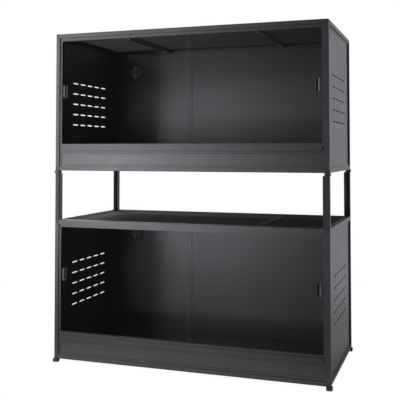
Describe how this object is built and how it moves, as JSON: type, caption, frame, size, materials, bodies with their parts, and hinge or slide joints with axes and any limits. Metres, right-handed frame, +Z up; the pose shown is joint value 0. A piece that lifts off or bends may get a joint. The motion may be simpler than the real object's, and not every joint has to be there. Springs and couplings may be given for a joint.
{
  "type": "terrarium cabinet",
  "caption": "Stack of sliding-door terrarium cabinets on an open spacer: extruded frames, vented sides, screen tops, glass doors and turning cable ports.",
  "frame": {"origin": "on the ground under the middle of the stack", "axes": "+Z up, +X to the right seen from the front, the doors face -Y"},
  "size_m": [1.23, 0.62, 1.453],
  "materials": {
    "anodised_extrusion": "satin black anodised",
    "panel_board": "fine-grained satin black foamed board",
    "door_glass": "clear toughened, ground edges",
    "screen_net": "black coated wire",
    "moulded_plastic": "satin black moulded",
    "screw_steel": "bright zinc"
  },
  "bodies": {
    "frame": {"lower_front_left_post": "anodised_extrusion", "lower_front_right_post": "anodised_extrusion", "lower_rear_left_post": "anodised_extrusion", "lower_rear_right_post": "anodised_extrusion", "lower_top_front_rail": "anodised_extrusion", "lower_top_rear_rail": "anodised_extrusion", "lower_top_side_rails": "anodised_extrusion", "lower_bottom_front_rail": "anodised_extrusion", "lower_bottom_rear_rail": "anodised_extrusion", "lower_bottom_side_rails": "anodised_extrusion", "lower_door_sill": "anodised_extrusion", "lower_fascia_panel": "panel_board", "lower_left_vent_panel": "panel_board", "lower_right_vent_panel": "panel_board", "lower_back_panel": "panel_board", "lower_floor_panel": "panel_board", "lower_crossbars": "anodised_extrusion", "lower_screen_frames": "anodised_extrusion", "lower_screen_nets": "screen_net", "lower_port_ring": "moulded_plastic", "lower_corner_connectors": "moulded_plastic", "lower_feet": "moulded_plastic", "upper_front_left_post": "anodised_extrusion", "upper_front_right_post": "anodised_extrusion", "upper_rear_left_post": "anodised_extrusion", "upper_rear_right_post": "anodised_extrusion", "upper_top_front_rail": "anodised_extrusion", "upper_top_rear_rail": "anodised_extrusion", "upper_top_side_rails": "anodised_extrusion", "upper_bottom_front_rail": "anodised_extrusion", "upper_bottom_rear_rail": "anodised_extrusion", "upper_bottom_side_rails": "anodised_extrusion", "upper_door_sill": "anodised_extrusion", "upper_fascia_panel": "panel_board", "upper_left_vent_panel": "panel_board", "upper_right_vent_panel": "panel_board", "upper_back_panel": "panel_board", "upper_floor_panel": "panel_board", "upper_crossbars": "anodised_extrusion", "upper_screen_frames": "anodised_extrusion", "upper_screen_nets": "screen_net", "upper_port_ring": "moulded_plastic", "upper_corner_connectors": "moulded_plastic", "upper_feet": "moulded_plastic", "spacer_posts": "anodised_extrusion", "spacer_plugs": "moulded_plastic"},
    "lower_left_slider": {"lower_left_door": "door_glass", "lower_left_pull": "moulded_plastic"},
    "lower_right_slider": {"lower_right_door": "door_glass", "lower_right_pull": "moulded_plastic"},
    "lower_port_turner": {"lower_port_cover": "moulded_plastic"},
    "upper_left_slider": {"upper_left_door": "door_glass", "upper_left_pull": "moulded_plastic"},
    "upper_right_slider": {"upper_right_door": "door_glass", "upper_right_pull": "moulded_plastic"},
    "upper_port_turner": {"upper_port_cover": "moulded_plastic"}
  },
  "joints": [
    {"name": "lower_left_door_slide", "type": "slide", "parent": "frame", "child": "lower_left_slider", "axis": [1, 0, 0], "range_m": [0, 0.555]},
    {"name": "lower_right_door_slide", "type": "slide", "parent": "frame", "child": "lower_right_slider", "axis": [-1, 0, 0], "range_m": [0, 0.603]},
    {"name": "lower_port_cover_turn", "type": "hinge", "parent": "frame", "child": "lower_port_turner", "pos_m": [-0.485, 0.2923, 0.51], "axis": [0, -1, 0], "range_deg": [0, 180]},
    {"name": "upper_left_door_slide", "type": "slide", "parent": "frame", "child": "upper_left_slider", "axis": [1, 0, 0], "range_m": [0, 0.555]},
    {"name": "upper_right_door_slide", "type": "slide", "parent": "frame", "child": "upper_right_slider", "axis": [-1, 0, 0], "range_m": [0, 0.603]},
    {"name": "upper_port_cover_turn", "type": "hinge", "parent": "frame", "child": "upper_port_turner", "pos_m": [-0.485, 0.2923, 1.338], "axis": [0, -1, 0], "range_deg": [0, 180]}
  ]
}
